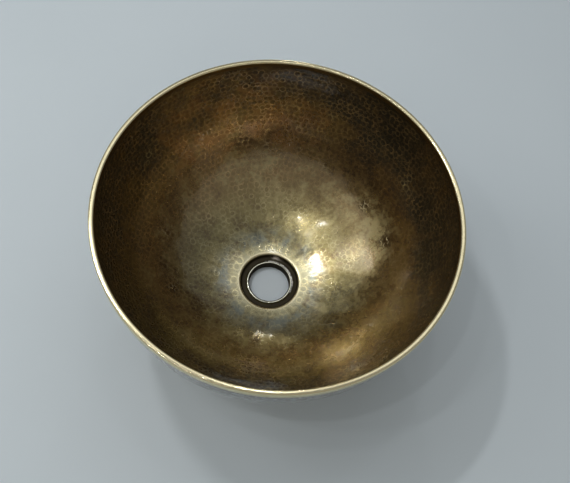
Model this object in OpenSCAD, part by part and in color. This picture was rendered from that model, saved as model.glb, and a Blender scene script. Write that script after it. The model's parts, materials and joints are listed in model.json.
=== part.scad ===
// Hammered brass wash basin: a deep round bowl of sheet brass, with a polished ring around its edge
// and a drain opening in a dished recess at its bottom.
// All lengths are in millimetres. +Z is up, and the origin is the centre of the drain collar's lower face,
// which is what the basin stands on.

/* [Bowl] */
// Diameter over the rim ring
bowl_d = 343; // [280:1:420]
// Depth inside, from the top of the rim ring to the lip of the drain recess
bowl_depth = 168; // [120:2:200]
// Thickness of the brass sheet
sheet_t = 1.5; // [1:0.1:2]
// Fullness of the wall's curve: 2 is an ellipse, and a larger value is rounder low down
fullness = 2.2; // [2:0.1:2.6]

/* [Rim ring] */
// Width of the ring across its top
ring_w = 5; // [4:0.1:7]
// Height of the ring
ring_h = 7; // [5:0.5:12]
// Depth of the groove that holds the edge of the sheet
groove_depth = 3; // [2:0.5:4]
// Radius of the ring's two upper edges
ring_round = 1.8; // [0.5:0.1:1.9]

/* [Drain] */
// Diameter of the hole through the drain collar, a standard basin drain
drain_d = 45; // [40:1:50]
// Thickness of the collar's wall
collar_wall = 2.5; // [2:0.1:3]
// Length of the collar, from its lower face to its top edge
collar_l = 10; // [9:0.5:16]
// Diameter of the recess, between the crowns of its rounded lip
recess_d = 68; // [66:1:80]
// Height of the recess's lip above the collar's top edge
lip_rise = 4; // [3:0.5:6]
// Height of the collar's top edge above the floor of the recess
collar_proud = 1; // [0.5:0.1:1.5]
// Radius over which the sheet turns down into the recess
lip_round = 3; // [2.5:0.1:3.5]
// Radius between the wall and the floor of the recess
floor_round = 1.5; // [1:0.1:2]
// Slope of the recess's wall, in degrees from level
recess_slope = 75; // [65:1:80]

/* [Brazing] */
// Width of the seams between the sheet and the rim ring
rim_seam = 1.5; // [0.5:0.1:2]
// Width of the solder bead around the collar inside the recess
solder_w = 2.2; // [1:0.1:2.5]
// Height of that solder bead
solder_h = 0.7; // [0.3:0.1:0.9]
// Width of the brazed fillet around the collar under the recess
collar_seam = 3; // [1.5:0.5:4]

/* [Hidden] */
$fn = 180;

wall_steps = 28;      // straight stretches along the wall's section
arc_steps = 5;        // straight stretches along a small rounding
edge_break = 0.4;     // small bevel on the collar's lower edge

// Radii
ring_r_out = bowl_d / 2;
ring_r_in = ring_r_out - ring_w;
sheet_r_in = ring_r_out - ring_w / 2 - sheet_t / 2;
sheet_r_out = sheet_r_in + sheet_t;
bore_r = drain_d / 2;
collar_r = bore_r + collar_wall;
lip_r = recess_d / 2;
collar_round = collar_wall * 0.32;

// Heights
lip_z = collar_l + lip_rise;
floor_z = collar_l - collar_proud;
rim_top_z = lip_z + bowl_depth;
rim_base_z = rim_top_z - ring_h;
sheet_top_z = rim_base_z + groove_depth;

// The wall is a superellipse that starts upright at the ring's base and reaches the lip of the recess
wall_drop_in = (rim_base_z - lip_z) / pow(1 - pow(lip_r / sheet_r_in, fullness), 1 / fullness);
wall_drop_out = wall_drop_in + sheet_t;

// Slope of the wall at the lip, in degrees from level
lip_ratio = lip_r / sheet_r_in;
lip_slope = atan(wall_drop_in / sheet_r_in * pow(lip_ratio, fullness - 1)
                 / pow(1 - pow(lip_ratio, fullness), (fullness - 1) / fullness));

// Centre of the lip's rounding, under the surface
lip_centre = [lip_r + lip_round * sin(lip_slope), lip_z - lip_round * cos(lip_slope)];
lip_from = 90 + lip_slope;
lip_to = 90 + recess_slope;

// Centre of the rounding between the recess's wall and floor, above the floor
lip_end = lip_centre + lip_round * [cos(lip_to), sin(lip_to)];
floor_from = recess_slope - 90;
floor_touch_z = floor_z + floor_round - floor_round * cos(recess_slope);
floor_touch_r = lip_end[0] - (lip_end[1] - floor_touch_z) / tan(recess_slope);
floor_centre = [floor_touch_r - floor_round * sin(recess_slope), floor_z + floor_round];

// Points of an arc from one angle to another
function arc(centre, radius, from, to, steps) =
    [for (i = [0:steps]) centre + radius * [cos(from + (to - from) * i / steps), sin(from + (to - from) * i / steps)]];

// Points of the wall's curve from the ring's base down to a radius
function wall_curve(radius, drop, end_r) =
    let (end_t = acos(pow(end_r / radius, fullness / 2)))
    [for (i = [0:wall_steps]) let (t = end_t * i / wall_steps)
        [radius * pow(cos(t), 2 / fullness), rim_base_z - drop * pow(sin(t), 2 / fullness)]];

// Radius of a wall's curve at a distance under the ring's base
function wall_r(radius, drop, below) = radius * pow(1 - pow(below / drop, fullness), 1 / fullness);

function reversed(points) = [for (i = [len(points) - 1:-1:0]) points[i]];

// The sheet: upright edge, wall, rounded lip, recess wall and recess floor
module bowl_shell() {
    upper = concat(
        [[sheet_r_in, sheet_top_z]],
        wall_curve(sheet_r_in, wall_drop_in, lip_r),
        arc(lip_centre, lip_round, lip_from + (lip_to - lip_from) / arc_steps, lip_to, arc_steps - 1),
        arc(floor_centre, floor_round, floor_from, -90, arc_steps),
        [[collar_r, floor_z]]);
    lower = concat(
        [[sheet_r_out, sheet_top_z]],
        wall_curve(sheet_r_out, wall_drop_out, lip_r + sheet_t * sin(lip_slope)),
        arc(lip_centre, lip_round - sheet_t, lip_from + (lip_to - lip_from) / arc_steps, lip_to, arc_steps - 1),
        arc(floor_centre, floor_round + sheet_t, floor_from, -90, arc_steps),
        [[collar_r, floor_z - sheet_t]]);
    color([0.42, 0.33, 0.17])
        rotate_extrude()
            polygon(concat(upper, reversed(lower)));
}

// The solid ring on the edge, grooved underneath for the sheet
module rim_ring() {
    top_in = [ring_r_in + ring_round, rim_top_z - ring_round];
    top_out = [ring_r_out - ring_round, rim_top_z - ring_round];
    color([0.85, 0.72, 0.42])
        rotate_extrude()
            polygon(concat(
                arc(top_out, ring_round, 0, 90, arc_steps),
                arc(top_in, ring_round, 90, 180, arc_steps),
                [[ring_r_in, rim_base_z],
                 [sheet_r_in, rim_base_z],
                 [sheet_r_in, sheet_top_z],
                 [sheet_r_out, sheet_top_z],
                 [sheet_r_out, rim_base_z],
                 [ring_r_out, rim_base_z]]));
}

// Seam of brazing under the ring, inside the bowl
module rim_braze_inner() {
    seam_w = min(rim_seam, sheet_r_in - ring_r_in);
    color([0.72, 0.58, 0.32])
        rotate_extrude()
            polygon([[sheet_r_in - seam_w, rim_base_z],
                     [wall_r(sheet_r_in, wall_drop_in, rim_seam), rim_base_z - rim_seam],
                     [sheet_r_in, rim_base_z]]);
}

// Seam of brazing under the ring, outside the bowl
module rim_braze_outer() {
    seam_w = min(rim_seam, ring_r_out - sheet_r_out);
    color([0.72, 0.58, 0.32])
        rotate_extrude()
            polygon([[sheet_r_out, rim_base_z],
                     [sheet_r_out, rim_base_z - rim_seam],
                     [sheet_r_out + seam_w, rim_base_z]]);
}

// The drain collar: a turned tube through the floor of the recess, with a rounded top edge
module drain_collar() {
    top_in = [bore_r + collar_round, collar_l - collar_round];
    top_out = [collar_r - collar_round, collar_l - collar_round];
    color([0.78, 0.66, 0.38])
        rotate_extrude()
            polygon(concat(
                arc(top_out, collar_round, 0, 90, arc_steps),
                arc(top_in, collar_round, 90, 180, arc_steps),
                [[bore_r, 0],
                 [collar_r - edge_break, 0],
                 [collar_r, edge_break]]));
}

// Bead of soft solder around the collar, on the floor of the recess
module collar_solder() {
    color([0.72, 0.72, 0.70])
        rotate_extrude()
            polygon([[collar_r, floor_z],
                     [collar_r + solder_w, floor_z],
                     [collar_r + solder_w * 0.6, floor_z + solder_h * 0.6],
                     [collar_r, floor_z + solder_h]]);
}

// Fillet of brazing around the collar, under the floor of the recess
module collar_braze() {
    under_z = floor_z - sheet_t;
    corner = [collar_r + collar_seam, under_z - collar_seam];
    color([0.62, 0.50, 0.28])
        rotate_extrude()
            polygon(concat([[collar_r, under_z]], arc(corner, collar_seam, 180, 90, arc_steps)));
}

bowl_shell();
rim_ring();
rim_braze_inner();
rim_braze_outer();
drain_collar();
collar_solder();
collar_braze();
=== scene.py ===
"""Looks of a hammered and antiqued brass wash basin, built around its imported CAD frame.

All lengths are in metres."""

import json
import math

import bpy
import numpy as np
from mathutils import Matrix, Vector


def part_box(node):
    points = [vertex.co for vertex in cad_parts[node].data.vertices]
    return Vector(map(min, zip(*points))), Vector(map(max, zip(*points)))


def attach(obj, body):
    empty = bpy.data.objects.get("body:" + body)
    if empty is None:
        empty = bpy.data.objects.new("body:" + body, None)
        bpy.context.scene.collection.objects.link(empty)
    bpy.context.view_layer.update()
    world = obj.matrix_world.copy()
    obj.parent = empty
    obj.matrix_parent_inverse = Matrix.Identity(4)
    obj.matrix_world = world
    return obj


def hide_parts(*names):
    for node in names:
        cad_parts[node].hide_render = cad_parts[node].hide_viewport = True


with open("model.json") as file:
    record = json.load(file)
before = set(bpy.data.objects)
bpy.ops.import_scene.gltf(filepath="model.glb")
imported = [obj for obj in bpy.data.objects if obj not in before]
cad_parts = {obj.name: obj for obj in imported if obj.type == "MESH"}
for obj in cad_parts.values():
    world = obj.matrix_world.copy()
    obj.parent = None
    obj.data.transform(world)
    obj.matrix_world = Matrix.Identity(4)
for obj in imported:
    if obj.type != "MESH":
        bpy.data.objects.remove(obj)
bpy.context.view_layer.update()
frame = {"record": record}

MM = 0.001
TURN = 2 * math.pi
SEED = 7
BODY = "root"

# ---------------------------------------------------------------- sizes, from the frame
ring_low, ring_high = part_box("rim_ring")
shell_low, shell_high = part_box("bowl_shell")
_, collar_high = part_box("drain_collar")
solder_low, solder_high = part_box("collar_solder")
_, seam_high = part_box("collar_braze")
rim_seam_low, rim_seam_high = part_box("rim_braze_inner")
mounts = {m["name"]: m for m in frame["record"]["mounts"]}

RIM_R = ring_high.x
RIM_TOP = ring_high.z
RIM_BASE = ring_low.z
SHEET_TOP = shell_high.z
SHEET_R_OUT = shell_high.x
FLOOR_Z = solder_low.z
SHEET_T = FLOOR_Z - shell_low.z
SHEET_R_IN = SHEET_R_OUT - SHEET_T
RING_R_IN = SHEET_R_IN - (RIM_R - SHEET_R_OUT)
BORE_R = mounts["drain_bore"]["dims"]["r_mm"] * MM
COLLAR_R = collar_high.x
COLLAR_TOP = collar_high.z
SOLDER_W = solder_high.x - COLLAR_R
SOLDER_H = solder_high.z - solder_low.z
SEAM_W = seam_high.x - COLLAR_R
RIM_SEAM_H = rim_seam_high.z - rim_seam_low.z

# Sizes of the sheet's section that a box doesn't hold, as in the CAD source
FULLNESS = 2.2
LIP_R = 34 * MM
LIP_Z = 14 * MM
LIP_ROUND = 3 * MM
FLOOR_ROUND = 1.5 * MM
RECESS_SLOPE = math.radians(75)
RING_ROUND = 1.8 * MM


# ---------------------------------------------------------------- outlines
def arc(centre, radius, start, end, steps=10):
    """Points of an arc in the section plane, from one angle to another in radians."""
    angle = np.linspace(start, end, steps + 1)
    return np.stack([centre[0] + radius * np.cos(angle), centre[1] + radius * np.sin(angle)], 1)


def wall_curve(radius, drop, end_r, steps=400):
    """The bowl's wall: a superellipse, upright under the ring and nearly level at the lip of the recess."""
    end = math.acos((end_r / radius) ** (FULLNESS / 2))
    t = np.linspace(0, end, steps + 1)
    return np.stack([radius * np.cos(t) ** (2 / FULLNESS), RIM_BASE - drop * np.sin(t) ** (2 / FULLNESS)], 1)


def sheet_section():
    """The two faces of the sheet as polylines in (radius, height), each from the rim to the collar."""
    ratio = (LIP_R / SHEET_R_IN) ** FULLNESS
    drop = (RIM_BASE - LIP_Z) / (1 - ratio) ** (1 / FULLNESS)
    rise = drop / SHEET_R_IN * (LIP_R / SHEET_R_IN) ** (FULLNESS - 1) / (1 - ratio) ** (1 - 1 / FULLNESS)
    slope = math.atan(rise)
    lip = np.array([LIP_R + LIP_ROUND * math.sin(slope), LIP_Z - LIP_ROUND * math.cos(slope)])
    lip_angles = (math.pi / 2 + slope, math.pi / 2 + RECESS_SLOPE)
    lip_end = lip + LIP_ROUND * np.array([math.cos(lip_angles[1]), math.sin(lip_angles[1])])
    touch_z = FLOOR_Z + FLOOR_ROUND * (1 - math.cos(RECESS_SLOPE))
    touch_r = lip_end[0] - (lip_end[1] - touch_z) / math.tan(RECESS_SLOPE)
    corner = (touch_r - FLOOR_ROUND * math.sin(RECESS_SLOPE), FLOOR_Z + FLOOR_ROUND)
    corner_angles = (RECESS_SLOPE - math.pi / 2, -math.pi / 2)
    upper = np.concatenate([
        wall_curve(SHEET_R_IN, drop, LIP_R),
        arc(lip, LIP_ROUND, *lip_angles)[1:],
        arc(corner, FLOOR_ROUND, *corner_angles),
        [[COLLAR_R, FLOOR_Z]],
    ])
    lower = np.concatenate([
        wall_curve(SHEET_R_OUT, drop + SHEET_T, LIP_R + SHEET_T * math.sin(slope)),
        arc(lip, LIP_ROUND - SHEET_T, *lip_angles)[1:],
        arc(corner, FLOOR_ROUND + SHEET_T, *corner_angles),
        [[COLLAR_R, FLOOR_Z - SHEET_T]],
    ])
    return upper, lower


def resample(line, step, fine_step, fine_from):
    """Points along a polyline a step apart, closer together after the length fine_from.

    Returns the points and their lengths along the line."""
    length = np.concatenate([[0], np.cumsum(np.linalg.norm(np.diff(line, axis=0), axis=1))])
    coarse = np.linspace(0, fine_from, max(2, round(fine_from / step)) + 1)
    fine = np.linspace(fine_from, length[-1], max(2, round((length[-1] - fine_from) / fine_step)) + 1)
    at = np.concatenate([coarse, fine[1:]])
    return np.stack([np.interp(at, length, line[:, 0]), np.interp(at, length, line[:, 1])], 1), at


def section_normals(points, towards_axis):
    """Unit normals of a section line from the rim inwards, on the side towards the axis or away from it."""
    d = np.gradient(points, axis=0)
    d /= np.linalg.norm(d, axis=1)[:, None]
    n = np.stack([d[:, 1], -d[:, 0]], 1)
    return n if towards_axis else -n


# ---------------------------------------------------------------- hammer marks
class Marks:
    """Rows of round hammer marks, each row at one distance along the wall."""

    def __init__(self, rng, first, last, pitch, radius_at, size, jitter, missing, last_grow=1.0):
        self.rows = []
        self.reach = size * 1.9
        for s in np.linspace(first, last, round((last - first) / pitch) + 1):
            around = radius_at(s)
            grow = last_grow if s == last else 1.0
            count = max(8, round(TURN * around / (pitch * grow)))
            drift = 0.35 * jitter * np.sin(np.arange(count) * 0.21 + s * 900)
            self.rows.append({
                "s": s,
                "count": count,
                "phase": rng.uniform(0, 1),
                "ds": rng.normal(0, jitter, count) + drift,
                "da": rng.normal(0, jitter, count) / around,
                "size": size * grow * rng.uniform(0.86, 1.16, count),
                "depth": np.where(rng.random(count) < missing, 0.0, rng.uniform(0.55, 1.0, count)),
                "squash": rng.uniform(0.85, 1.2, count),
                "shade": rng.random(count),
            })

    def nearest(self, s, angle, around):
        """For each point: how far out it is in its mark, where 1 is the mark's edge, and that mark's
        depth and shade."""
        out = np.full(s.shape, 2.0)
        depth = np.zeros(s.shape)
        shade = np.full(s.shape, 0.5)
        for row in self.rows:
            near = np.abs(s - row["s"]) < self.reach
            if not near.any():
                continue
            sn, an, rn = s[near], angle[near], around[near]
            place = an / TURN * row["count"] - row["phase"]
            for side in (-1, 0, 1):
                k = (np.round(place).astype(int) + side) % row["count"]
                centre = (k + row["phase"]) / row["count"] * TURN + row["da"][k]
                gap = (an - centre + math.pi) % TURN - math.pi
                far = np.hypot((sn - row["s"] - row["ds"][k]) / row["squash"][k], gap * rn) / row["size"][k]
                far = np.where(row["depth"][k] > 0, far, 2.0)
                better = far < out[near]
                for target, value in ((out, far), (depth, row["depth"][k]), (shade, row["shade"][k])):
                    part = target[near]
                    part[better] = value[better]
                    target[near] = part
        return out, depth, shade


def smooth(x, low, high):
    """A smooth step from 0 at low to 1 at high."""
    t = np.clip((x - low) / (high - low), 0, 1)
    return t * t * (3 - 2 * t)


def waves(angle, s, rng, amount, turns, lengths, terms=14):
    """Slow unevenness of a hand-raised sheet: a sum of random waves round and along the wall."""
    total = np.zeros(angle.shape)
    for _ in range(terms):
        n = rng.integers(turns[0], turns[1] + 1)
        wavelength = rng.uniform(*lengths)
        around = np.cos(n * angle + rng.uniform(0, TURN))
        total += around * np.cos(TURN * s / wavelength + rng.uniform(0, TURN))
    return amount * total / math.sqrt(terms)


# ---------------------------------------------------------------- mesh building
def mesh_piece(name, points, faces, replaced, material, attributes=None):
    """A smooth-shaded mesh object that rides on the body and stands for a CAD node."""
    mesh = bpy.data.meshes.new(name)
    mesh.vertices.add(len(points))
    mesh.vertices.foreach_set("co", np.asarray(points, np.float32).ravel())
    mesh.loops.add(len(faces) * 4)
    mesh.polygons.add(len(faces))
    mesh.loops.foreach_set("vertex_index", np.asarray(faces, np.int32).ravel())
    mesh.polygons.foreach_set("loop_start", np.arange(0, len(faces) * 4, 4, dtype=np.int32))
    mesh.polygons.foreach_set("use_smooth", np.ones(len(faces), bool))
    mesh.update(calc_edges=True)
    mesh.validate()
    for key, values in (attributes or {}).items():
        layer = mesh.attributes.new(key, "FLOAT", "POINT")
        layer.data.foreach_set("value", np.asarray(values, np.float32).ravel())
    piece = bpy.data.objects.new(name, mesh)
    bpy.context.scene.collection.objects.link(piece)
    piece.data.materials.append(material)
    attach(piece, BODY)
    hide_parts(replaced)
    return piece


def ring_faces(rows, columns):
    """Quads of a closed loop of rows by columns points, both ways round."""
    row = np.arange(rows)[:, None]
    column = np.arange(columns)[None, :]
    next_row = (row + 1) % rows
    next_column = (column + 1) % columns
    corners = (row * columns + column, row * columns + next_column,
               next_row * columns + next_column, next_row * columns + column)
    return np.stack(corners, -1).reshape(-1, 4)


def spin(radius, height, angle):
    """Points in space of section points, given as arrays of radius and height over the angles."""
    return np.stack([radius * np.cos(angle), radius * np.sin(angle), height], -1).reshape(-1, 3)


def lathe(name, outline, columns, replaced, material, shift=None):
    """A closed ring: an outline in (radius, height) that runs anticlockwise, turned round the axis.
    shift moves its points along the outline's normals: a function of (angle, point number, outline)."""
    outline = np.asarray(outline, float)
    angle = np.linspace(0, TURN, columns, endpoint=False)[None, :]
    ahead = np.roll(outline, -1, 0) - np.roll(outline, 1, 0)
    normal = np.stack([ahead[:, 1], -ahead[:, 0]], 1)
    normal /= np.maximum(np.linalg.norm(normal, axis=1), 1e-12)[:, None]
    push = np.zeros((len(outline), columns)) if shift is None else shift(angle, outline)
    radius = outline[:, :1] + normal[:, :1] * push
    height = outline[:, 1:] + normal[:, 1:] * push
    points = spin(radius, height, np.broadcast_to(angle, radius.shape))
    return mesh_piece(name, points, ring_faces(len(outline), columns)[:, ::-1], replaced, material)


def dense(outline, step):
    """A closed outline with points no further than a step apart."""
    outline = np.asarray(outline, float)
    parts = []
    for a, b in zip(outline, np.roll(outline, -1, 0)):
        count = max(1, math.ceil(np.linalg.norm(b - a) / step))
        parts.append(a + (b - a) * (np.arange(count) / count)[:, None])
    return np.concatenate(parts)


# ---------------------------------------------------------------- node helpers
class Nodes:
    """Short calls for building a material's node tree."""

    def __init__(self, name):
        self.material = bpy.data.materials.new(name)
        self.material.use_nodes = True
        self.tree = self.material.node_tree
        self.shader = self.tree.nodes["Principled BSDF"]

    def put(self, socket, value):
        if isinstance(value, bpy.types.NodeSocket):
            self.tree.links.new(value, socket)
        else:
            socket.default_value = value

    def node(self, kind, **settings):
        made = self.tree.nodes.new(kind)
        for key, value in settings.items():
            setattr(made, key, value)
        return made

    def attribute(self, name):
        return self.node("ShaderNodeAttribute", attribute_name=name).outputs["Fac"]

    def place(self):
        return self.node("ShaderNodeTexCoord").outputs["Object"]

    def stretch(self, vector, scale):
        made = self.node("ShaderNodeMapping")
        self.put(made.inputs["Vector"], vector)
        made.inputs["Scale"].default_value = scale
        return made.outputs["Vector"]

    def noise(self, vector, size, detail=3.0, roughness=0.55, warp=0.0):
        """Noise whose blobs are about that size in metres."""
        made = self.node("ShaderNodeTexNoise")
        self.put(made.inputs["Vector"], vector)
        made.inputs["Scale"].default_value = 1 / size
        made.inputs["Detail"].default_value = detail
        made.inputs["Roughness"].default_value = roughness
        made.inputs["Distortion"].default_value = warp
        return made.outputs["Fac"]

    def span(self, value, low, high, to_low=0.0, to_high=1.0, kind="SMOOTHSTEP"):
        made = self.node("ShaderNodeMapRange", interpolation_type=kind)
        self.put(made.inputs["Value"], value)
        made.inputs["From Min"].default_value = low
        made.inputs["From Max"].default_value = high
        made.inputs["To Min"].default_value = to_low
        made.inputs["To Max"].default_value = to_high
        return made.outputs["Result"]

    def math(self, operation, a, b=0.0, c=None):
        made = self.node("ShaderNodeMath", operation=operation)
        self.put(made.inputs[0], a)
        self.put(made.inputs[1], b)
        if c is not None:
            self.put(made.inputs[2], c)
        return made.outputs[0]

    def mix(self, share, a, b, blend="MIX"):
        made = self.node("ShaderNodeMix", data_type="RGBA", blend_type=blend)
        self.put(made.inputs["Factor"], share)
        self.put(made.inputs["A"], a if isinstance(a, bpy.types.NodeSocket) else (*a, 1))
        self.put(made.inputs["B"], b if isinstance(b, bpy.types.NodeSocket) else (*b, 1))
        return next(o for o in made.outputs if o.type == "RGBA")

    def bump(self, height, distance, strength=1.0, normal=None):
        made = self.node("ShaderNodeBump")
        self.put(made.inputs["Height"], height)
        made.inputs["Distance"].default_value = distance
        made.inputs["Strength"].default_value = strength
        if normal is not None:
            self.put(made.inputs["Normal"], normal)
        return made.outputs["Normal"]

    def lacquer(self, weight, roughness, normal):
        self.put(self.shader.inputs["Coat Weight"], weight)
        self.shader.inputs["Coat Roughness"].default_value = roughness
        self.shader.inputs["Coat IOR"].default_value = 1.6
        self.put(self.shader.inputs["Coat Normal"], normal)

    def finish(self, colour, roughness, normal, metallic=1.0):
        self.put(self.shader.inputs["Base Color"], colour)
        self.put(self.shader.inputs["Roughness"], roughness)
        self.put(self.shader.inputs["Normal"], normal)
        self.put(self.shader.inputs["Metallic"], metallic)
        return self.material


# ---------------------------------------------------------------- materials
DARK_BROWN = (0.045, 0.034, 0.024)
DARK_OLIVE = (0.040, 0.033, 0.011)
BROWN = (0.178, 0.112, 0.048)
BRONZE = (0.31, 0.215, 0.085)
OLIVE = (0.34, 0.277, 0.112)
GOLD = (0.58, 0.49, 0.24)
COPPER = (0.42, 0.22, 0.085)
# A cool silvery tone, painted round the drain as a sheen
SILVER_SHEEN = (0.24, 0.275, 0.25)
PALE_GOLD = (0.92, 0.82, 0.52)
LIP_GOLD = (0.56, 0.50, 0.27)        # round the drain
ORANGE_LINE = (0.66, 0.44, 0.20)     # rings of the punch, where the patina is brown
OLIVE_LINE = (0.80, 0.70, 0.38)      # the same, where it is olive
SMEARED_SOLDER = (0.85, 0.78, 0.68)
POLISHED = (0.84, 0.75, 0.48)        # the rim ring's top
# The collar: walls painted near black as the bore's shade, top edge painted bright, partly as a highlight
BORE_BLACK = (0.020, 0.016, 0.007)
BORE_BROWN = (0.034, 0.026, 0.014)
COLLAR_EDGE = (0.80, 0.80, 0.66)
CLEAN_SOLDER = (0.80, 0.79, 0.74)
FLOOR_GREY = (0.75, 0.835, 0.88)
FLOOR_PALE = (0.77, 0.855, 0.90)


def antiqued_brass():
    """Brown patina over brass under thin lacquer, rubbed back to gold on the rings that the punch left."""
    n = Nodes("antiqued_brass")
    place = n.place()
    out = n.attribute("mark_out")
    depth = n.attribute("mark_depth")
    shade = n.attribute("mark_shade")
    down = n.attribute("down")
    warm = n.attribute("warm")
    glint = n.attribute("glint")
    green = n.attribute("green")

    clouds = n.noise(place, 0.070, 5, 0.6, 0.6)
    blotches = n.noise(place, 0.020, 5, 0.62, 0.4)
    smears = n.noise(place, 0.010, 4, 0.7, 1.6)
    mottle = n.noise(place, 0.0045, 4, 0.65)
    grain = n.noise(place, 0.0011, 3, 0.6)

    # How light the patina is: lighter low in the bowl, darker under the rim
    worn = n.math("ADD", n.span(clouds, 0.32, 0.68, -0.20, 0.20), n.span(down, 0.12, 0.60, 0.10, 0.66))
    worn = n.math("ADD", worn, n.span(blotches, 0.3, 0.7, -0.16, 0.16))
    worn = n.math("ADD", worn, n.span(smears, 0.3, 0.7, -0.12, 0.12))
    worn = n.math("ADD", worn, n.span(mottle, 0.3, 0.7, -0.11, 0.11))
    worn = n.math("ADD", worn, n.math("MULTIPLY", warm, 0.30))
    worn = n.math("ADD", worn, n.math("MULTIPLY", n.attribute("thick"), -0.38))
    outside = n.math("SUBTRACT", 1.0, n.attribute("inside"))
    worn = n.math("ADD", worn, n.math("MULTIPLY", outside, n.span(shade, 0.0, 1.0, -0.14, 0.14, "LINEAR")))
    colour = n.mix(n.span(worn, -0.1, 0.40), DARK_BROWN, BROWN)
    colour = n.mix(n.span(worn, 0.20, 0.70), colour, n.mix(green, BRONZE, OLIVE))
    colour = n.mix(n.span(worn, 0.70, 1.10, 0.0, 0.75), colour, GOLD)

    # Orange tints, and a painted sheen round the drain: a cool silvery reflection painted into the colour
    tint = n.math("ADD", warm, n.span(n.noise(place, 0.035, 4, 0.6, 0.8), 0.35, 0.70, -0.45, 0.35))
    colour = n.mix(n.span(tint, 0.15, 0.9, 0.0, 0.75), colour, COPPER)
    painted_sheen = n.math("MULTIPLY", n.span(down, 0.84, 0.94), n.span(blotches, 0.40, 0.6, 0.15, 0.8))
    colour = n.mix(painted_sheen, colour, SILVER_SHEEN)
    colour = n.mix(n.span(down, 0.945, 0.975, 0.0, 0.65), colour, LIP_GOLD)

    # Thin bright rings of the punch, and darker hollows in them
    ring = n.math("MULTIPLY", n.span(out, 0.78, 0.92), n.span(out, 1.04, 1.22, 1.0, 0.0))
    ring = n.math("MULTIPLY", ring, n.math("MULTIPLY", depth, n.span(shade, 0.1, 0.8, 0.35, 1.0)))
    hollow = n.math("MULTIPLY", n.span(out, 0.50, 0.85, 1.0, 0.0), depth)
    colour = n.mix(n.math("MULTIPLY", hollow, n.span(down, 0.40, 0.70, 0.40, 0.10)), colour, DARK_BROWN)
    line = n.mix(green, ORANGE_LINE, OLIVE_LINE)
    # In the small glint spots the ring lines turn pale gold: partly polish, partly a painted highlight
    line = n.mix(glint, line, PALE_GOLD)
    colour = n.mix(n.math("MULTIPLY", ring, 0.95), colour, line)
    colour = n.mix(n.span(grain, 0.35, 0.75, 0.0, 0.18), colour, DARK_BROWN)

    # Darker outside, partly a darker patina and partly painted shade; darker in the recess, and rubbed bright
    # on the crown of the recess's lip
    colour = n.mix(n.math("MULTIPLY", outside, 0.45), colour, DARK_BROWN)
    recess = n.attribute("recess")
    colour = n.mix(recess, colour, n.mix(n.span(mottle, 0.3, 0.7), DARK_OLIVE, DARK_BROWN))
    splash = n.math("MULTIPLY", n.attribute("splash"), n.span(mottle, 0.38, 0.55))
    colour = n.mix(splash, colour, SMEARED_SOLDER)
    crown = n.math("MULTIPLY", n.attribute("crown"), n.span(mottle, 0.3, 0.6, 0.55, 0.95))
    colour = n.mix(crown, colour, PALE_GOLD)

    rough = n.math("ADD", n.span(blotches, 0.3, 0.7, 0.25, 0.34), n.span(mottle, 0.3, 0.7, -0.04, 0.05))
    rough = n.math("ADD", rough, n.math("MULTIPLY", glint, -0.14))
    rough = n.math("ADD", rough, n.math("MULTIPLY", outside, n.span(shade, 0.0, 1.0, -0.06, 0.08, "LINEAR")))
    rough = n.math("ADD", rough, n.math("MULTIPLY", ring, -0.11))
    rough = n.math("ADD", rough, n.math("MULTIPLY", recess, 0.30))
    metal = n.math("SUBTRACT", n.span(worn, 0.0, 0.5, 0.85, 1.0), n.math("MULTIPLY", recess, 0.3))

    # The rings stand up a little, most where they catch the light in small glints
    raised = n.math("MULTIPLY", ring, n.span(down, 0.84, 0.95, 1.0, 0.30))
    raised = n.math("MULTIPLY", raised, n.span(glint, 0.0, 1.0, 1.0, 2.5, "LINEAR"))
    smoother = n.bump(raised, 0.05 * MM, 0.8)
    normal = n.bump(mottle, 0.10 * MM, 0.30, smoother)
    normal = n.bump(grain, 0.03 * MM, 0.5, normal)
    n.lacquer(n.math("SUBTRACT", 1.0, recess), 0.12, smoother)
    return n.finish(colour, rough, normal, metal)


def polished_brass():
    """The rim ring: bright brass with fine scratches along it, brown where it is never rubbed; the brightness
    on its top and outer side is partly polish and partly a painted highlight.
    """
    n = Nodes("polished_brass")
    place = n.place()
    polish_and_highlight = n.attribute("polish_and_highlight")
    blotches = n.noise(place, 0.018, 4, 0.6, 0.3)
    grain = n.noise(place, 0.0012, 3, 0.6)
    streaks = n.noise(n.stretch(place, (1, 1, 9)), 0.006, 3, 0.6)
    bright = n.math("ADD", polish_and_highlight, n.span(blotches, 0.3, 0.7, -0.16, 0.12))
    colour = n.mix(n.span(bright, 0.15, 0.6), BROWN, GOLD)
    colour = n.mix(n.span(bright, 0.45, 0.85), colour, POLISHED)
    colour = n.mix(n.span(streaks, 0.5, 0.8, 0.0, 0.2), colour, OLIVE)
    rough = n.math("ADD", n.span(bright, 0.2, 0.9, 0.36, 0.17), n.span(streaks, 0.3, 0.7, -0.03, 0.06))
    normal = n.bump(streaks, 0.02 * MM, 0.4)
    normal = n.bump(grain, 0.015 * MM, 0.4, normal)
    return n.finish(colour, rough, normal)


def brazing():
    """Brazed seams: brass-coloured, a little rough and dirty."""
    n = Nodes("brazing")
    place = n.place()
    lumps = n.noise(place, 0.004, 4, 0.6)
    stains = n.noise(place, 0.015, 4, 0.6, 0.5)
    colour = n.mix(n.span(stains, 0.35, 0.65), BROWN, GOLD)
    colour = n.mix(n.span(lumps, 0.45, 0.7, 0.0, 0.5), colour, OLIVE)
    rough = n.span(lumps, 0.3, 0.7, 0.28, 0.45)
    return n.finish(colour, rough, n.bump(lumps, 0.15 * MM, 0.6))


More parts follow.
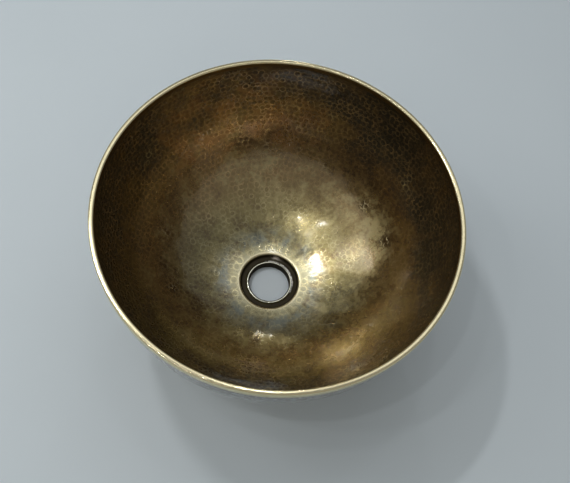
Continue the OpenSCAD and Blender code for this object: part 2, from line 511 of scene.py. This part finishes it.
def collar_brass():
    """The turned collar: bright on its top edge, partly polish and partly a painted highlight; near black and
    brown on its walls, a painted shade of the bore.
    """
    n = Nodes("collar_brass")
    n.shader.inputs["Specular IOR Level"].default_value = 0.1
    place = n.place()
    polish_and_highlight = n.attribute("polish_and_highlight")
    turning = n.noise(n.stretch(place, (1, 1, 14)), 0.006, 3, 0.6)
    stains = n.noise(place, 0.012, 4, 0.6, 0.5)
    grain = n.noise(place, 0.001, 3, 0.6)
    bright = n.math("MULTIPLY", n.span(polish_and_highlight, 0.3, 0.9), n.span(stains, 0.30, 0.60, 0.45, 1.0))
    # Walls near black and brown: painted shade of the bore
    colour = n.mix(n.span(stains, 0.3, 0.7), BORE_BLACK, BORE_BROWN)
    colour = n.mix(n.span(turning, 0.5, 0.8, 0.0, 0.2), colour, BROWN)
    # Bright top edge: partly polish, partly a painted highlight
    colour = n.mix(bright, colour, COLLAR_EDGE)
    rough = n.math("ADD", n.span(bright, 0.1, 0.8, 0.70, 0.22), n.span(grain, 0.3, 0.7, -0.04, 0.05))
    normal = n.bump(turning, 0.05 * MM, 0.5)
    return n.finish(colour, rough, n.bump(grain, 0.02 * MM, 0.4, normal), n.span(bright, 0.0, 0.4, 0.1, 1.0))


def solder():
    """Soft solder: grey-white where it is clean, brown flux stains elsewhere."""
    n = Nodes("solder")
    place = n.place()
    amount = n.attribute("amount")
    stains = n.noise(place, 0.006, 4, 0.65, 0.4)
    grain = n.noise(place, 0.0012, 3, 0.6)
    clean = n.math("MULTIPLY", n.span(stains, 0.34, 0.52), n.span(amount, 0.30, 0.65))
    colour = n.mix(clean, DARK_OLIVE, CLEAN_SOLDER)
    rough = n.math("ADD", n.span(clean, 0.0, 1.0, 0.45, 0.30), n.span(grain, 0.3, 0.7, -0.05, 0.08))
    normal = n.bump(stains, 0.25 * MM, 0.6)
    return n.finish(colour, rough, n.bump(grain, 0.06 * MM, 0.5, normal))


def plain_floor():
    """Matt pale grey, faintly cool."""
    n = Nodes("pale_floor")
    place = n.place()
    faint = n.noise(place, 0.3, 3, 0.5)
    colour = n.mix(n.span(faint, 0.3, 0.7), FLOOR_GREY, FLOOR_PALE)
    fine = n.noise(place, 0.004, 2, 0.5)
    return n.finish(colour, 0.75, n.bump(fine, 0.05 * MM, 0.2), metallic=0.0)


# ---------------------------------------------------------------- pieces
COLUMNS = 900            # points round the sheet
INNER_STEP = 1.15 * MM   # between points along the sheet's inner face
OUTER_STEP = 1.9 * MM
LIP_STEP = 0.5 * MM
MARK_PITCH = 6.2 * MM
MARK_SIZE = 2.95 * MM    # radius of a mark
MARK_DEPTH = 0.06 * MM
RIDGE_HEIGHT = 0.025 * MM
RIDGE_WIDTH = 0.28       # as a share of the mark's radius
MARKS_START = 10 * MM    # smooth band under the ring
FACET_PITCH = 10.5 * MM  # planishing marks outside
FACET_DEPTH = 0.32 * MM
# Spots of polished rings, whose lines are also painted pale in part as highlights
GLINT_SPOTS = 60         # small polished spots inside
GROOVE_STEP = 1.5 * MM   # between the two rows of the edge in the ring's groove
RING_COLUMNS = 1080
COLLAR_COLUMNS = 360
SOLDER_COLUMNS = 540


def patch(angle, s, direction, spread, distance, length):
    """A broad soft patch of the wall, 1 in its middle. Direction and spread are in degrees."""
    gap = (angle - math.radians(direction) + math.pi) % TURN - math.pi
    return np.exp(-(gap / math.radians(spread)) ** 2 - ((s - distance) / length) ** 2)


def scattered_spots(rng, count, angle, s, lowest, sizes):
    """A share from 0 to 1 at each point: small round spots scattered at random over the wall."""
    share = np.zeros(s.shape)
    for _ in range(count):
        gap = (angle - rng.uniform(0, TURN) + math.pi) % TURN - math.pi
        far = np.hypot(gap * SHEET_R_IN * 0.9, s - rng.uniform(0.25, 1.0) * lowest) / rng.uniform(*sizes)
        share = np.maximum(share, np.exp(-far ** 2))
    return share


def hammered_shell():
    """The sheet: ring-punched inside and planished outside, with its lip, recess and hole."""
    rng = np.random.default_rng(SEED)
    upper, lower = sheet_section()
    wall_end = len(wall_curve(SHEET_R_IN, 1, LIP_R)) - 1
    lengths = np.cumsum(np.linalg.norm(np.diff(upper, axis=0), axis=1))
    lip_at = lengths[wall_end - 1]
    inner_wall = lip_at - 2 * MM
    inner, inner_s = resample(upper, INNER_STEP, LIP_STEP, inner_wall)
    outer_lengths = np.cumsum(np.linalg.norm(np.diff(lower, axis=0), axis=1))
    outer_wall = outer_lengths[wall_end - 1] - 2 * MM
    outer, outer_s = resample(lower, OUTER_STEP, 2 * LIP_STEP, outer_wall)

    angle = np.linspace(0, TURN, COLUMNS, endpoint=False)[None, :]

    def spread(column):
        return np.broadcast_to(np.asarray(column)[:, None], (len(column), COLUMNS))

    # Inner face: punch marks with raised edges, over slow unevenness
    marks = Marks(rng, MARKS_START, lip_at - 5.5 * MM, MARK_PITCH,
                  lambda s: np.interp(s, inner_s, inner[:, 0]), MARK_SIZE, 0.55 * MM, 0.10, 1.25)
    s_in, a_in, r_in = spread(inner_s), np.broadcast_to(angle, (len(inner), COLUMNS)), spread(inner[:, 0])
    out, depth, shade = marks.nearest(s_in, a_in, r_in)
    clear = 1 - 0.45 * smooth(s_in, 55 * MM, 105 * MM)
    clear += 0.70 * smooth(s_in, lip_at - 10 * MM, lip_at - 8.5 * MM)
    clear *= np.clip(0.92 + waves(a_in, s_in, rng, 0.25, (3, 14), (40 * MM, 120 * MM)), 0.35, 1.15)
    fainter = 0.45 * smooth(np.cos(a_in - math.radians(15)), 0.3, 0.9)
    clear *= 1 - fainter * (1 - smooth(s_in, 150 * MM, 190 * MM))
    # Small spots where the rings are polished and deep enough to glint; the shader also paints their rings
    # pale, partly as a painted highlight
    spot_rng = np.random.default_rng(SEED + 5)
    glint = scattered_spots(spot_rng, GLINT_SPOTS, a_in, s_in, inner_wall, (4 * MM, 10 * MM))
    depth = depth * np.maximum(clear, glint)
    fade = smooth(s_in, 0, 6 * MM) * (1 - smooth(s_in, inner_wall - 2 * MM, inner_wall + 2 * MM))
    relief = depth * np.maximum(1 - 0.55 * smooth(s_in, 60 * MM, 110 * MM), 1.1 * glint)
    cup = -MARK_DEPTH * relief * (1 - smooth(out, 0.15, 1.08))
    ridge = RIDGE_HEIGHT * relief * np.exp(-((out - 1.0) / RIDGE_WIDTH) ** 2)
    slow = waves(a_in, s_in, rng, 0.16 * MM, (4, 26), (30 * MM, 90 * MM))
    slow *= smooth(r_in, 0.18 * SHEET_R_IN, 0.45 * SHEET_R_IN)
    fast = waves(a_in, s_in, rng, 0.03 * MM, (20, 60), (12 * MM, 30 * MM))
    slow += fast * smooth(r_in, 0.5 * SHEET_R_IN, 0.9 * SHEET_R_IN)
    inner_push = (cup + ridge + slow) * fade
    inner_n = section_normals(inner, True)

    # Outer face: wider, shallower planishing marks
    facets = Marks(rng, 6 * MM, outer_wall, FACET_PITCH,
                   lambda s: np.interp(s, outer_s, outer[:, 0]), FACET_PITCH * 0.62, 1.3 * MM, 0.0)
    s_out, a_out = spread(outer_s), np.broadcast_to(angle, (len(outer), COLUMNS))
    f_out, f_depth, f_shade = facets.nearest(s_out, a_out, spread(outer[:, 0]))
    f_fade = smooth(s_out, 3 * MM, 18 * MM) * (1 - smooth(s_out, outer_wall - 2 * MM, outer_wall + 2 * MM))
    outer_push = -FACET_DEPTH * f_depth * (1 - np.minimum(f_out, 1.0) ** 2) * f_fade
    outer_push += waves(a_out, s_out, rng, 0.12 * MM, (4, 26), (30 * MM, 90 * MM)) * f_fade
    outer_n = section_normals(outer, False)

    # One closed loop of rows: the edge in the ring's groove, the inner face, the hole's edge, the outer face
    edge_in = np.array([[SHEET_R_IN, SHEET_TOP], [SHEET_R_IN, SHEET_TOP - GROOVE_STEP]])
    edge_out = np.array([[SHEET_R_OUT, SHEET_TOP - GROOVE_STEP], [SHEET_R_OUT, SHEET_TOP]])
    radius = np.concatenate([
        spread(edge_in[:, 0]), r_in + inner_n[:, :1] * inner_push,
        (spread(outer[:, 0]) + outer_n[:, :1] * outer_push)[::-1], spread(edge_out[:, 0])])
    height = np.concatenate([
        spread(edge_in[:, 1]), spread(inner[:, 1]) + inner_n[:, 1:] * inner_push,
        (spread(outer[:, 1]) + outer_n[:, 1:] * outer_push)[::-1], spread(edge_out[:, 1])])
    rows = len(radius)

    def layer(at_edge, on_inner, on_outer):
        edge = np.full((2, COLUMNS), at_edge)
        return np.concatenate([edge, on_inner, on_outer[::-1], edge])

    # Greener low in the bowl and on its -Y side, browner elsewhere
    way_down = s_in / inner_wall
    olive_side = 0.9 * smooth(-np.sin(a_in - math.radians(12)), -0.1, 0.6)
    green = np.maximum(smooth(way_down, 0.58, 0.80), olive_side * smooth(way_down, 0.2, 0.4))

    # A smear of solder at the foot of the recess's far wall
    side = (a_in - math.radians(76) + math.pi) % TURN - math.pi
    splash = np.exp(-(side * r_in / (4.5 * MM)) ** 2)
    splash = splash * np.exp(-((s_in - lip_at - 5.5 * MM) / (2.2 * MM)) ** 2)

    # Patina: orange on the far wall, thick on the near wall and high on the +X side, thin low on the +X side
    cloudy = np.clip(0.85 + waves(a_in, s_in, spot_rng, 0.5, (3, 16), (40 * MM, 110 * MM)), 0.2, 1.2)
    warm = cloudy * patch(a_in, s_in, 110, 40, 65 * MM, 40 * MM)
    thick = patch(a_in, s_in, -80, 70, 110 * MM, 45 * MM)
    thick = np.maximum(thick, patch(a_in, s_in, 0, 40, 65 * MM, 30 * MM))
    thick = cloudy * thick - patch(a_in, s_in, 30, 20, 130 * MM, 25 * MM)

    flat = np.zeros(f_out.shape)
    attributes = {
        "mark_out": layer(2.0, out, np.full(f_out.shape, 2.0)),
        "mark_depth": layer(0.0, depth * fade, flat),
        "mark_shade": layer(0.5, shade, f_shade),
        "inside": layer(0.0, np.ones(out.shape), flat),
        "warm": layer(0.0, warm, flat),
        "thick": layer(0.0, thick, flat),
        "recess": layer(0.0, smooth(s_in, lip_at + 1.2 * MM, lip_at + 2.8 * MM), flat),
        "green": layer(0.0, green, flat),
        "glint": layer(0.0, glint, flat),
        "splash": layer(0.0, splash, flat),
        "crown": layer(0.0, np.exp(-((s_in - lip_at) / (1.3 * MM)) ** 2), flat),
        "down": layer(0.0, way_down, s_out / outer_wall * 0.8),
    }
    points = spin(radius, height, np.broadcast_to(angle, radius.shape))
    return mesh_piece("hammered_shell", points, ring_faces(rows, COLUMNS),
                      "bowl_shell", antiqued_brass(), attributes)


def polish_and_highlight_attribute(piece, rubbed_at):
    """Stores how much each point of a piece is rubbed bright or painted bright as a highlight: a function of
    its radius and height.
    """
    co = np.zeros(len(piece.data.vertices) * 3, np.float32)
    piece.data.vertices.foreach_get("co", co)
    co = co.reshape(-1, 3)
    values = rubbed_at(np.hypot(co[:, 0], co[:, 1]), co[:, 2])
    layer = piece.data.attributes.new("polish_and_highlight", "FLOAT", "POINT")
    layer.data.foreach_set("value", np.asarray(values, np.float32))


def rim_ring():
    """The ring on the edge, with rounded upper edges, slightly uneven from filing."""
    rng = np.random.default_rng(SEED + 1)
    top = RIM_TOP - RING_ROUND
    outline = np.concatenate([
        arc((RIM_R - RING_ROUND, top), RING_ROUND, 0, math.pi / 2, 8),
        arc((RING_R_IN + RING_ROUND, top), RING_ROUND, math.pi / 2, math.pi, 8),
        [[RING_R_IN, RIM_BASE], [SHEET_R_IN, RIM_BASE], [SHEET_R_IN, SHEET_TOP],
         [SHEET_R_OUT, SHEET_TOP], [SHEET_R_OUT, RIM_BASE], [RIM_R, RIM_BASE]]])

    def uneven(angle, points):
        s = np.broadcast_to(np.arange(len(points))[:, None] * 0.5 * MM, (len(points), angle.shape[1]))
        a = np.broadcast_to(angle, s.shape)
        return waves(a, s, rng, 0.015 * MM, (3, 24), (10 * MM, 30 * MM)) - 0.05 * MM

    piece = lathe("rim_ring_polished", dense(outline, 0.8 * MM), RING_COLUMNS,
                  "rim_ring", polished_brass(), uneven)
    outside = RING_R_IN + RING_ROUND
    # Brighter on the top and the outer side: partly polish, partly a painted highlight
    polish_and_highlight_attribute(piece, lambda r, z: np.maximum(
        smooth(z, RIM_TOP - 2.4 * MM, RIM_TOP - 0.7 * MM), smooth(r, outside, RIM_R - 0.4 * MM) * 0.8))
    return piece


def rim_seams():
    """The two seams of brazing under the ring."""
    rng = np.random.default_rng(SEED + 2)
    base = RIM_BASE
    material = brazing()

    def uneven(angle, points):
        s = np.broadcast_to(np.arange(len(points))[:, None] * 0.3 * MM, (len(points), angle.shape[1]))
        return -np.abs(waves(np.broadcast_to(angle, s.shape), s, rng, 0.10 * MM, (20, 160), (2 * MM, 9 * MM)))

    inner = [[SHEET_R_IN, base], [RING_R_IN + 0.1 * MM, base], [SHEET_R_IN - 0.35 * MM, base - 0.45 * MM],
             [SHEET_R_IN, base - RIM_SEAM_H]]
    outer = [[SHEET_R_OUT, base], [SHEET_R_OUT, base - RIM_SEAM_H],
             [SHEET_R_OUT + 0.35 * MM, base - 0.45 * MM], [RIM_R - 0.1 * MM, base]]
    for name, outline, node in (("rim_seam_inner", inner, "rim_braze_inner"),
                                ("rim_seam_outer", outer, "rim_braze_outer")):
        lathe(name, dense(outline, 0.3 * MM), RING_COLUMNS, node, material, uneven)


def drain_collar():
    """The turned tube through the recess's floor, with a rounded top edge painted bright, partly polish and
    partly a painted highlight.
    """
    rounding = (COLLAR_R - BORE_R) * 0.32
    bevel = 0.4 * MM
    top = COLLAR_TOP - rounding
    outline = np.concatenate([
        arc((COLLAR_R - rounding, top), rounding, 0, math.pi / 2, 8),
        arc((BORE_R + rounding, top), rounding, math.pi / 2, math.pi, 8),
        [[BORE_R, 0], [COLLAR_R - bevel, 0], [COLLAR_R, bevel]]])
    piece = lathe("drain_collar_turned", dense(outline, 0.5 * MM), COLLAR_COLUMNS,
                  "drain_collar", collar_brass())
    inner_edge = BORE_R + rounding
    # The outer part of the top is bright: partly polish, partly a painted highlight
    polish_and_highlight_attribute(piece, lambda r, z: smooth(z, top + 0.1 * MM, COLLAR_TOP - 0.1 * MM)
                     * smooth(r, inner_edge, inner_edge + 0.6 * MM))
    return piece


def solder_bead():
    """The lumpy bead round the collar, heaviest towards +X and +Y."""
    rng = np.random.default_rng(SEED + 3)
    columns = SOLDER_COLUMNS
    angle = np.linspace(0, TURN, columns, endpoint=False)[None, :]
    heavy = smooth(np.cos(angle - math.radians(40)), 0.2, 0.8)
    lumps = waves(angle, np.zeros_like(angle), rng, 0.5, (9, 46), (1, 2), 26)
    amount = np.clip(0.18 + 0.60 * heavy + 0.35 * lumps, 0.06, 1)
    t = np.linspace(0, math.pi / 2, 9)[:, None]
    width = SOLDER_W * (0.35 + 0.62 * amount)
    rise = SOLDER_H * (0.35 + 0.62 * amount)
    radius = COLLAR_R + width * np.cos(t)
    height = FLOOR_Z + rise * np.sin(t)
    radius = np.concatenate([radius, np.full((1, columns), COLLAR_R)])
    height = np.concatenate([height, np.full((1, columns), FLOOR_Z)])
    points = spin(radius, height, np.broadcast_to(angle, radius.shape))
    attributes = {"amount": np.broadcast_to(amount, radius.shape)}
    return mesh_piece("solder_bead", points, ring_faces(len(radius), columns)[:, ::-1],
                      "collar_solder", solder(), attributes)


def collar_seam():
    """The fillet of brazing round the collar under the recess."""
    rng = np.random.default_rng(SEED + 4)
    under = FLOOR_Z - SHEET_T
    hollow = arc((COLLAR_R + SEAM_W, under - SEAM_W), SEAM_W, math.pi, math.pi / 2, 10)

    def uneven(angle, points):
        s = np.broadcast_to(np.arange(len(points))[:, None] * 0.4 * MM, (len(points), angle.shape[1]))
        return -np.abs(waves(np.broadcast_to(angle, s.shape), s, rng, 0.09 * MM, (9, 60), (3 * MM, 9 * MM)))

    outline = np.concatenate([[[COLLAR_R, under]], hollow])
    return lathe("collar_seam", dense(outline, 0.4 * MM), COLLAR_COLUMNS,
                 "collar_braze", brazing(), uneven)


# ---------------------------------------------------------------- stage
FLOOR_HALF = 60.0        # wide enough for a far horizon
SKY_BLEND = 0.35         # the sky reaches its upper colour at this height of the direction's unit vector


def make_floor():
    half = FLOOR_HALF
    corners = [(-half, -half, 0), (half, -half, 0), (half, half, 0), (-half, half, 0)]
    mesh = bpy.data.meshes.new("floor")
    mesh.from_pydata(corners, [], [(0, 1, 2, 3)])
    floor = bpy.data.objects.new("floor", mesh)
    bpy.context.scene.collection.objects.link(floor)
    floor.data.materials.append(plain_floor())


def area_light(name, azimuth, elevation, distance, size, power, colour=(1, 1, 1)):
    """A panel aimed at the bowl, soft or small. Azimuth is anticlockwise from +X, and elevation is above
    the floor, both in degrees."""
    a, e = math.radians(azimuth), math.radians(elevation)
    direction = Vector((math.cos(a) * math.cos(e), math.sin(a) * math.cos(e), math.sin(e)))
    target = Vector((0, 0, RIM_TOP / 2))
    data = bpy.data.lights.new(name, "AREA")
    data.shape = "RECTANGLE"
    data.size, data.size_y = size
    data.energy = power
    data.color = colour
    light = bpy.data.objects.new(name, data)
    bpy.context.scene.collection.objects.link(light)
    light.location = target + direction * distance
    light.rotation_mode = "QUATERNION"
    light.rotation_quaternion = direction.to_track_quat("Z", "Y")


def make_world(low, high):
    """Soft surrounding light, from one colour at the horizon to another overhead."""
    world = bpy.data.worlds.new("studio")
    bpy.context.scene.world = world
    world.use_nodes = True
    tree = world.node_tree
    background = tree.nodes["Background"]
    coordinates = tree.nodes.new("ShaderNodeTexCoord")
    split = tree.nodes.new("ShaderNodeSeparateXYZ")
    blend = tree.nodes.new("ShaderNodeMix")
    blend.data_type = "RGBA"
    tree.links.new(coordinates.outputs["Generated"], split.inputs[0])
    height = tree.nodes.new("ShaderNodeMapRange")
    height.inputs["From Max"].default_value = SKY_BLEND
    tree.links.new(split.outputs["Z"], height.inputs["Value"])
    tree.links.new(height.outputs["Result"], blend.inputs["Factor"])
    blend.inputs["A"].default_value = (*low, 1)
    blend.inputs["B"].default_value = (*high, 1)
    tree.links.new(next(o for o in blend.outputs if o.type == "RGBA"), background.inputs["Color"])


# The camera looks down at a point on the rim's plane, from the side of -Y
LOOK_AT = Vector((4 * MM, -33 * MM, RIM_TOP))
CAMERA_DISTANCE = 0.657
CAMERA_ELEVATION = math.radians(63.7)
CAMERA_HEADING = math.radians(9.2)   # from +Y towards +X
CAMERA_ROLL = math.radians(10.4)     # its right side is raised
SENSOR = 36.0
FOCAL = 46.74


def make_camera():
    data = bpy.data.cameras.new("camera")
    data.sensor_width = SENSOR
    data.lens = FOCAL
    data.clip_start = 0.01
    data.clip_end = 200
    camera = bpy.data.objects.new("camera", data)
    bpy.context.scene.collection.objects.link(camera)
    level = math.cos(CAMERA_ELEVATION)
    back = Vector((-math.sin(CAMERA_HEADING) * level, -math.cos(CAMERA_HEADING) * level,
                   math.sin(CAMERA_ELEVATION)))
    right = Vector((0, 0, 1)).cross(back).normalized()
    facing = Matrix((right, back.cross(right), back)).transposed().to_4x4()
    camera.matrix_world = (Matrix.Translation(LOOK_AT + back * CAMERA_DISTANCE)
                           @ facing @ Matrix.Rotation(CAMERA_ROLL, 4, "Z"))
    bpy.context.scene.camera = camera


make_camera()
hammered_shell()
rim_ring()
rim_seams()
drain_collar()
solder_bead()
collar_seam()
make_floor()
make_world((0.38, 0.395, 0.41), (0.205, 0.213, 0.22))
area_light("window", 163, 42, 1.6, (0.30, 0.80), 1.4)
area_light("window_glow", 168, 42, 1.7, (0.70, 1.00), 1.5)
area_light("window_side", -168, 34, 1.8, (1.1, 0.8), 1.1, (1.0, 0.95, 0.80))
area_light("window_top", 141, 64, 1.6, (0.15, 0.05), 3.0)
area_light("back", 84, 66, 2.0, (1.7, 0.8), 3.4)
area_light("room", -85, 46, 2.2, (5.6, 2.6), 5.0, (1.0, 0.84, 0.58))
area_light("lamp_a", -140, 71, 1.6, (0.04, 0.04), 0.75)
area_light("lamp_b", -161, 62, 1.6, (0.035, 0.035), 0.5)
area_light("lamp_d", -169, 71, 1.6, (0.03, 0.03), 0.45)
area_light("lamp_e", 84, 34, 1.6, (0.06, 0.03), 0.55)
area_light("lamp_f", 81, 80, 1.6, (0.05, 0.05), 0.35)
bpy.context.scene.view_settings.view_transform = "Standard"
